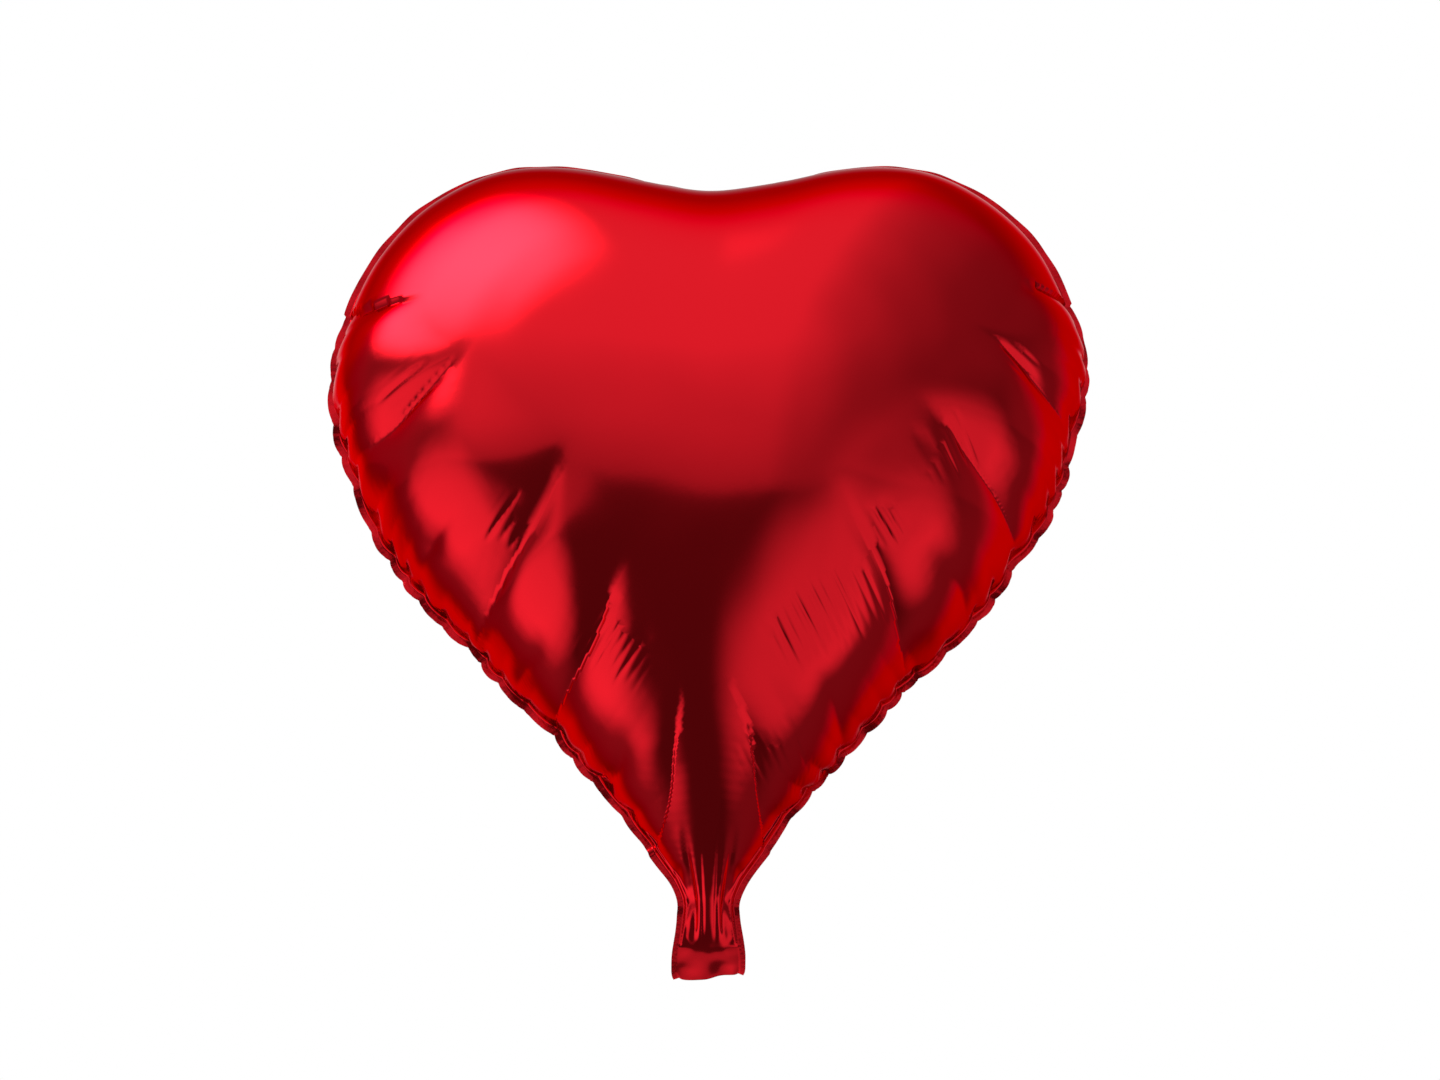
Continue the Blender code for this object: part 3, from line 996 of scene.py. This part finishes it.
class BalloonCut(bpy.types.PropertyGroup):
    """The flat pattern of one foil, before the gas goes in."""
    half_width: length("Half width", "Half of the flat heart's width inside the weld", 0.209)
    side_z: length("Side height", "Height of the widest point over the neck", 0.300)
    lobe_x: length("Lobe offset", "Distance of each lobe's top from the middle", 0.100)
    lobe_z: length("Lobe height", "Height of the lobes' tops over the neck", 0.415)
    cleft_z: length("Cleft height", "Height of the cleft between the lobes", 0.435)
    flank_x: length("Flank offset", "Distance of the lower flank's bend from the middle", 0.100)
    flank_z: length("Flank height", "Height of the lower flank's bend", 0.085)
    flank_pull: length("Flank pull", "How straight the flank runs below its bend", 0.036)
    hip_pull: length("Hip pull", "How straight the flank runs above its bend", 0.056)
    neck_half: length("Half neck", "Half of the neck's flat width inside the weld", 0.0160)
    tail_half: length("Half tail", "Half of the tail's flat width inside the weld", 0.0150)
    mouth_z: length("Mouth height", "Height of the tail's mouth, below the neck", -0.034, -1.0)
    spacing: length("Cloth spacing", "Distance between the cloth's points", 0.0064)
    weld_band: length("Weld band", "Width of the heat-sealed band round the heart", 0.0036)
    neck_band: length("Neck band", "Width of the heat-sealed band at the neck and tail", 0.0028)


class BalloonGas(bpy.types.PropertyGroup):
    """How the foils are blown up as cloth."""
    lift: length("Start lift", "How far the foils stand apart before the gas goes in", 0.008)
    lift_run: length("Lift run", "Distance from the weld over which they rise", 0.015)
    stiffness: FloatProperty(name="Stretch stiffness",
                             description="How little the film stretches", default=200.0)
    bending: FloatProperty(name="Bending stiffness",
                           description="How smoothly the film buckles", default=60.0)
    pressure: FloatProperty(name="Gas pressure", description="Push of the gas on the film", default=8.0)
    folds: FloatProperty(name="Folds",
                         description="Share of the blown cloth's own folds that is kept", default=0.20)
    frames: IntProperty(name="Steps", description="Steps of cloth simulation", default=30, min=6)


class BalloonFoil(bpy.types.PropertyGroup):
    """Folds, pleats and finish of the red foil."""
    finest: length("Finest spacing", "Smallest distance between the foil's points", 0.0009)
    pucker: FloatProperty(name="Puckers", description="Strength of the big puckers", default=1.0)
    pucker_splay: length("Pucker splay", "How far the puckers push the outline out", 0.0026)
    comb: FloatProperty(name="Combs", description="Strength of the fine parallel creases", default=1.0)
    crimp_pitch: length("Pleat pitch", "Distance between two pleats at the weld", 0.0185)
    crimp_depth: length("Pleat depth", "Height of the pleats next to the weld", 0.0022)
    crimp_reach: length("Pleat reach", "How far the pleats run in from the weld", 0.013)
    crimp_splay: length("Scallop depth", "How far the pleats push the outline out", 0.0017)
    weld_snake: length("Weld snaking", "How far the weld wanders out of its plane", 0.0008)
    unevenness: length("Unevenness", "Height of the faint waves over the whole foil", 0.00030)
    ripple: FloatProperty(name="Ripple",
                          description="Height of the film's soft ripples, millimetres", default=0.10)
    grain: FloatProperty(name="Grain",
                         description="Height of the film's fine grain, millimetres", default=0.004)
    knurl: FloatProperty(name="Knurl",
                         description="Depth of the heat seal's knurling, millimetres", default=0.06)
    roughness: FloatProperty(name="Roughness", description="Roughness of the bright foil", default=0.12,
                             min=0.0, max=1.0, subtype="FACTOR")
    colour: FloatVectorProperty(name="Foil colour", description="Colour of the metallised film",
                                default=(0.80, 0.012, 0.022), size=3, min=0.0, max=1.0, subtype="COLOR")


class BalloonFilm(bpy.types.PropertyGroup):
    """Finish of the clear valve film."""
    cover: FloatProperty(name="Cover", description="How much the film hides what is behind it", default=0.42,
                         min=0.0, max=1.0, subtype="FACTOR")
    colour: FloatVectorProperty(name="Film colour", description="Colour of the valve film",
                                default=(0.88, 0.90, 0.92), size=3, min=0.0, max=1.0, subtype="COLOR")


class BalloonStudio(bpy.types.PropertyGroup):
    """Floor, light and camera."""
    floor_z: length("Floor height", "Height of the floor under the hanging balloon", -0.60, -5.0)
    distance: length("Camera distance", "Distance of the camera from the balloon", 1.5)
    elevation: FloatProperty(name="Camera elevation", description="Angle of the camera above the balloon",
                             default=math.radians(-12.0), subtype="ANGLE")
    view_width: length("View width", "Width that the camera sees at the balloon", 0.714)
    target: FloatVectorProperty(name="Camera target", description="Point that the camera looks at",
                                default=(0.0055, 0.0, 0.183), size=3, subtype="TRANSLATION")


class DenseFoil:
    """The foil's settings together with the places where its mesh is finest."""

    def __init__(self, settings):
        for key in ("finest", "pucker", "pucker_splay", "comb", "crimp_pitch", "crimp_depth", "crimp_reach",
                    "crimp_splay", "weld_snake", "unevenness"):
            setattr(self, key, getattr(settings, key))
        self.dense = []
        for values in COMBS["front"] + COMBS["rear"]:
            centre = FLAT_MIDDLE + 1.13 * (np.array(values[0]) - HEART_MIDDLE)
            self.dense.append((centre, 0.5 * max(values[2], values[3] * values[4]) + 0.004))
        lines = [seam[:2] for side in SEAMS["front"] + SEAMS["rear"] for seam in side]
        lines += [values[:2] for values in FOLDS["front"] + FOLDS["rear"]]
        share = np.linspace(0.0, 0.9, 40)[:, None]
        lines = np.concatenate([(1.0 - share) * start + share * end for start, end in np.array(lines)])
        self.seams = FLAT_MIDDLE + 1.13 * (lines - HEART_MIDDLE)


class OBJECT_OT_balloon_foils(bpy.types.Operator):
    """Blow up, fit and crease the two welded red foils"""
    bl_idname = "object.balloon_foils"
    bl_label = "Red foils"
    bl_options = {"REGISTER", "UNDO"}

    def execute(self, context):
        scene = context.scene
        cut, gas = scene.balloon_cut, scene.balloon_gas
        flat, triangles, weld, front, rear = inflate(cut, gas)
        front, rear = fit_to_frame(flat, triangles, front, rear, weld, cut, gas)
        look = DenseFoil(scene.balloon_foil)
        fine_flat, fine_triangles, chain, (front, rear) = refined(flat, triangles, (front, rear), cut, look)
        rear[chain] = front[chain]
        foil_piece("front", "front_foil", ("front_panel", "tail_front_sheet"),
                   fine_flat, fine_triangles, chain, front, cut, look)
        foil_piece("rear", "rear_foil", ("rear_panel", "tail_rear_sheet"),
                   fine_flat, fine_triangles, chain, rear, cut, look)
        return {"FINISHED"}


class OBJECT_OT_balloon_films(bpy.types.Operator):
    """Make the clear films of the valve and the inlet"""
    bl_idname = "object.balloon_films"
    bl_label = "Valve films"
    bl_options = {"REGISTER", "UNDO"}

    def execute(self, context):
        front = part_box("valve_front_film")
        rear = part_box("valve_rear_film")
        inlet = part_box("inlet_front_film")
        inlet_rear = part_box("inlet_rear_film")
        flap = film_piece("valve_film_front", front, -0.0003, 0.4, ["valve_front_film"])
        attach(flap, FLAP)
        seal = (inlet[0], (inlet[1][0], inlet[1][1], front[0][2] - 0.0002))
        foot = film_piece("inlet_film_front", seal, -0.0003, 1.3, ["inlet_front_film"])
        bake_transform(foot)
        whole = (inlet_rear[0], rear[1])
        back = film_piece("valve_film_rear", whole, 0.0003, 2.2, ["valve_rear_film", "inlet_rear_film"])
        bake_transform(back)
        return {"FINISHED"}


def dot_mask(tree, direction, low, high, towards):
    """1 where the light direction points at the given one and 0 away from it, softly between."""
    product = node(tree, "ShaderNodeVectorMath", operation="DOT_PRODUCT")
    tree.links.new(direction, product.inputs[0])
    product.inputs[1].default_value = Vector(towards).normalized()
    made = node(tree, "ShaderNodeMapRange", {"From Min": low, "From Max": high})
    made.interpolation_type = "SMOOTHSTEP"
    tree.links.new(product.outputs["Value"], made.inputs["Value"])
    return made.outputs["Result"]


# Soft boxes and reflectors round the balloon: azimuth (0 in front, 90 on the right) and elevation
# of the middle, inner and outer edge, all in degrees, how fast it fades, and brightness
SOFT_BOXES = (
    (-70.0, 50.0, 0.0, 37.0, 1.8, 6.5),
    (-68.0, -24.0, 12.0, 40.0, 1.0, 0.85),
    (46.0, -26.0, 12.0, 40.0, 1.0, 0.66),
    (-112.0, -26.0, 14.0, 56.0, 1.0, 0.20),
    (102.0, -26.0, 14.0, 56.0, 1.0, 0.18),
    (140.0, 8.0, 12.0, 48.0, 1.0, 0.45),
    (-152.0, 0.0, 10.0, 36.0, 1.0, 0.50),
)

# How bright the plain surroundings are by height, then the share left by side and by depth
LIGHT_BY_HEIGHT = ((0.0, 0.09), (0.44, 0.10), (0.494, 0.12), (0.506, 0.42), (0.63, 0.72),
                   (0.71, 0.88), (1.0, 0.92))
LIGHT_BY_SIDE = ((0.0, 0.28), (0.05, 0.42), (0.11, 0.88), (0.18, 1.0), (0.60, 1.0),
                 (0.67, 0.70), (0.75, 0.46),
                 (0.85, 0.28), (1.0, 0.20))
LIGHT_BY_DEPTH = ((0.0, 1.0), (0.56, 1.0), (0.78, 0.45), (1.0, 0.45))


def level_ramp(tree, value, stops):
    """A grey ramp over a direction's part, which runs from -1 to 1."""
    ramp = node(tree, "ShaderNodeValToRGB")
    tree.links.new(map_range(tree, value, -1.0, 1.0, 0.0, 1.0), ramp.inputs[0])
    elements = ramp.color_ramp.elements
    while len(elements) < len(stops):
        elements.new(0.5)
    for element, (at, level) in zip(elements, stops):
        element.position = at
        element.color = (level, level, level, 1.0)
    return ramp.outputs["Color"]


def studio_world(scene):
    """White to the camera; softly lit from above, behind and both sides in the foil's reflections."""
    world = bpy.data.worlds.new("studio")
    scene.world = world
    world.use_nodes = True
    tree = world.node_tree
    background = tree.nodes["Background"]
    place = node(tree, "ShaderNodeTexCoord").outputs["Generated"]
    split = node(tree, "ShaderNodeSeparateXYZ")
    tree.links.new(place, split.inputs[0])
    total = level_ramp(tree, split.outputs["Z"], LIGHT_BY_HEIGHT)
    total = math_node(tree, "MULTIPLY", total, level_ramp(tree, split.outputs["X"], LIGHT_BY_SIDE))
    total = math_node(tree, "MULTIPLY", total, level_ramp(tree, split.outputs["Y"], LIGHT_BY_DEPTH))
    for azimuth, elevation, inner, outer, fade, level in SOFT_BOXES:
        turn, rise = math.radians(azimuth), math.radians(elevation)
        towards = (math.sin(turn) * math.cos(rise), -math.cos(turn) * math.cos(rise), math.sin(rise))
        mask = dot_mask(tree, place, math.cos(math.radians(outer)), math.cos(math.radians(inner)), towards)
        mask = math_node(tree, "POWER", mask, fade)
        total = math_node(tree, "ADD", total, math_node(tree, "MULTIPLY", mask, level))
    seen = node(tree, "ShaderNodeLightPath").outputs["Is Camera Ray"]
    mixed = node(tree, "ShaderNodeMix")
    tree.links.new(seen, mixed.inputs[0])
    tree.links.new(total, mixed.inputs[2])
    mixed.inputs[3].default_value = 1.0
    tree.links.new(mixed.outputs[0], background.inputs["Strength"])
    background.inputs["Color"].default_value = (1.0, 1.0, 1.0, 1.0)


class OBJECT_OT_balloon_studio(bpy.types.Operator):
    """Make the floor, the light and the camera"""
    bl_idname = "object.balloon_studio"
    bl_label = "Studio"
    bl_options = {"REGISTER", "UNDO"}

    def execute(self, context):
        scene = context.scene
        studio = scene.balloon_studio
        bpy.ops.mesh.primitive_circle_add(vertices=96, radius=30.0, fill_type="NGON",
                                          location=(0.0, 0.0, studio.floor_z))
        floor = context.active_object
        floor.name = "studio_floor"
        floor.data.materials.append(floor_material())
        floor.visible_glossy = False
        studio_world(scene)
        lamp = bpy.data.lights.new("overhead_softbox", "AREA")
        lamp.shape = "RECTANGLE"
        lamp.size, lamp.size_y = 2.4, 2.4
        lamp.energy = 60.0
        overhead = bpy.data.objects.new("overhead_softbox", lamp)
        overhead.location = (-0.4, -0.3, 2.6)
        overhead.visible_glossy = False
        scene.collection.objects.link(overhead)
        camera = bpy.data.cameras.new("camera")
        camera.sensor_width = 36.0
        camera.lens = camera.sensor_width * studio.distance / studio.view_width
        eye = bpy.data.objects.new("camera", camera)
        scene.collection.objects.link(eye)
        target = Vector(studio.target)
        away = Vector((0.0, -math.cos(studio.elevation), math.sin(studio.elevation)))
        eye.location = target + away * studio.distance
        eye.rotation_euler = (-away).to_track_quat("-Z", "Y").to_euler()
        scene.camera = eye
        scene.view_settings.view_transform = "Standard"
        return {"FINISHED"}


class VIEW3D_PT_balloon(bpy.types.Panel):
    """The balloon's pieces and their sizes"""
    bl_label = "Heart foil balloon"
    bl_idname = "VIEW3D_PT_balloon"
    bl_space_type = "VIEW_3D"
    bl_region_type = "UI"
    bl_category = "Balloon"

    def draw(self, context):
        layout = self.layout
        for operator in OPERATORS:
            layout.operator(operator.bl_idname)
        for name, group in GROUPS:
            box = layout.box()
            box.label(text=group.__doc__)
            for key in group.__annotations__:
                box.prop(getattr(context.scene, name), key)


GROUPS = (
    ("balloon_cut", BalloonCut),
    ("balloon_gas", BalloonGas),
    ("balloon_foil", BalloonFoil),
    ("balloon_film", BalloonFilm),
    ("balloon_studio", BalloonStudio),
)
OPERATORS = (OBJECT_OT_balloon_studio, OBJECT_OT_balloon_foils, OBJECT_OT_balloon_films)


def register():
    """Adds the settings, the operators and the panel."""
    for name, group in GROUPS:
        bpy.utils.register_class(group)
        setattr(bpy.types.Scene, name, PointerProperty(type=group))
    for operator in OPERATORS:
        bpy.utils.register_class(operator)
    bpy.utils.register_class(VIEW3D_PT_balloon)


def unregister():
    """Takes them away again."""
    bpy.utils.unregister_class(VIEW3D_PT_balloon)
    for operator in reversed(OPERATORS):
        bpy.utils.unregister_class(operator)
    for name, group in reversed(GROUPS):
        delattr(bpy.types.Scene, name)
        bpy.utils.unregister_class(group)


def main():
    """Builds the studio, the foils and the films."""
    register()
    bpy.ops.object.balloon_studio()
    bpy.ops.object.balloon_foils()
    bpy.ops.object.balloon_films()


if __name__ == "__main__":
    main()
